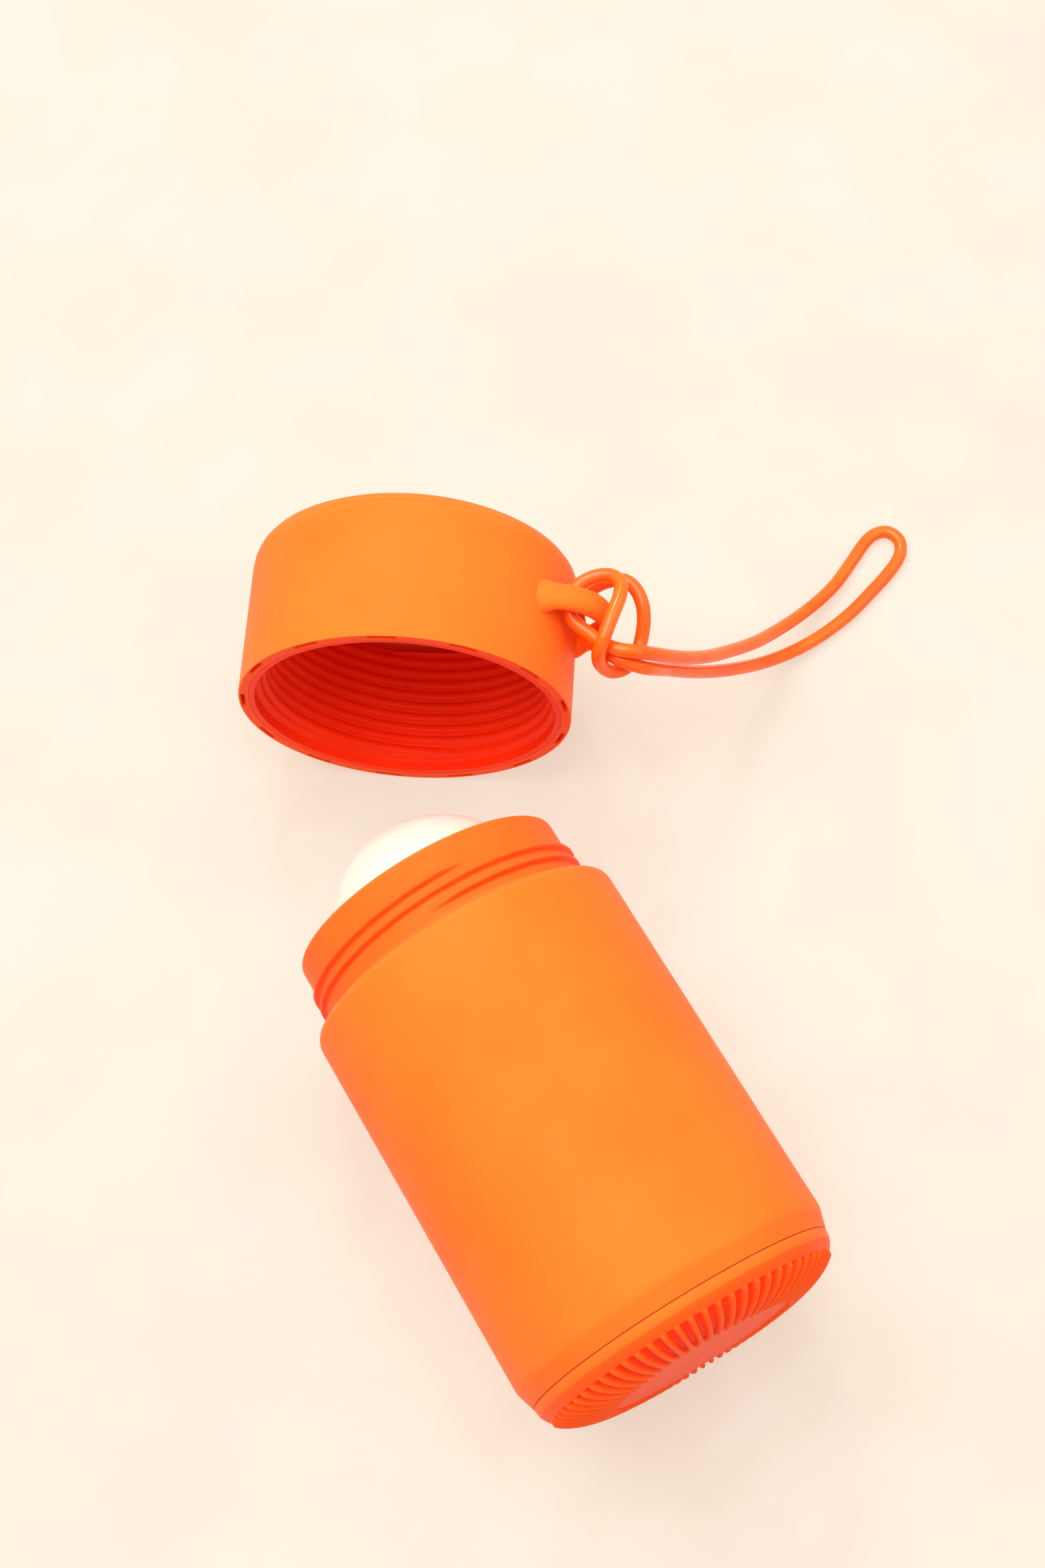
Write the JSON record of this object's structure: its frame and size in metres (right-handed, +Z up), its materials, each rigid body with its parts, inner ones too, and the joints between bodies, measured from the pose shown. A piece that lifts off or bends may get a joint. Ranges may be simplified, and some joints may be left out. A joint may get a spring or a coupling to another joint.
{
  "type": "portable bluetooth speaker",
  "caption": "Screw-top canister speaker lying open: threaded neck with a pale dome in its mouth, ribbed domed base, and a deep threaded cap with a lug and cord loop.",
  "frame": {"origin": "on the surface it lies on, under the middle of the canister and cap together", "axes": "+Y along the canister, from its base to its neck; +Z up; +X to the side where the cord lies"},
  "size_m": [0.2235, 0.2364, 0.0875],
  "materials": {
    "orange_body": "soft satin moulded plastic",
    "orange_liner": "satin moulded plastic",
    "orange_cord": "glossy round elastomer cord",
    "seal_orange": "matt silicone",
    "pale_diffuser": "smooth translucent diffuser",
    "dark_plastic": "moulded black plastic",
    "black_rubber": "matt rubber",
    "steel": "plated steel",
    "board_green": "solder-masked board",
    "cell_blue": "shrink-wrapped cell"
  },
  "bodies": {
    "canister": {"driver_basket": "dark_plastic", "driver_magnet": "steel", "driver_surround": "black_rubber", "bulkhead": "dark_plastic", "battery_tray": "dark_plastic", "battery_cell_1": "cell_blue", "battery_cell_2": "cell_blue", "board_rail_1": "dark_plastic", "board_rail_2": "dark_plastic", "main_board": "board_green", "body_sleeve": "orange_body", "base_cap": "orange_body", "base_gasket": "black_rubber", "sound_deck": "orange_body", "deck_screw_1": "steel", "deck_screw_2": "steel", "deck_screw_3": "steel", "deck_screw_4": "steel", "light_dome": "pale_diffuser", "led_board": "board_green", "usb_port": "steel", "switch_board": "board_green"},
    "seal_ring": {"neck_seal": "seal_orange"},
    "loop_end": {"cord_loop": "orange_cord"},
    "cap": {"cap_shell": "orange_body", "cap_liner": "orange_liner", "cord_knot": "orange_cord"},
    "cone": {"driver_cone": "dark_plastic"},
    "button": {"power_button": "orange_body"}
  },
  "joints": [
    {"name": "cap_spin", "type": "hinge", "parent": "canister", "child": "seal_ring", "pos_m": [-0.01815, -0.006, 0.04197], "axis": [0, -1, 0], "range_deg": [0, 2160]},
    {"name": "cap_advance", "type": "slide", "parent": "seal_ring", "child": "loop_end", "axis": [0, -1, 0], "range_m": [0, 0.0408]},
    {"name": "cap_swing", "type": "hinge", "parent": "loop_end", "child": "cap", "pos_m": [0.03435, 0.01486, 0.04173], "axis": [-0.0171, -0.056, 0.9983], "range_deg": [0, 33.95]},
    {"name": "cone_stroke", "type": "slide", "parent": "canister", "child": "cone", "axis": [0, 1, 0], "range_m": [-0.0015, 0.0015], "stiffness_N_per_m": 1200},
    {"name": "button_press", "type": "slide", "parent": "canister", "child": "button", "axis": [0, -1, 0], "range_m": [0, 0.0003], "stiffness_N_per_m": 600}
  ],
  "couplings": [
    {"joint": "cap_advance", "follows": "cap_spin", "m_per_rad": 0.0010823}
  ]
}
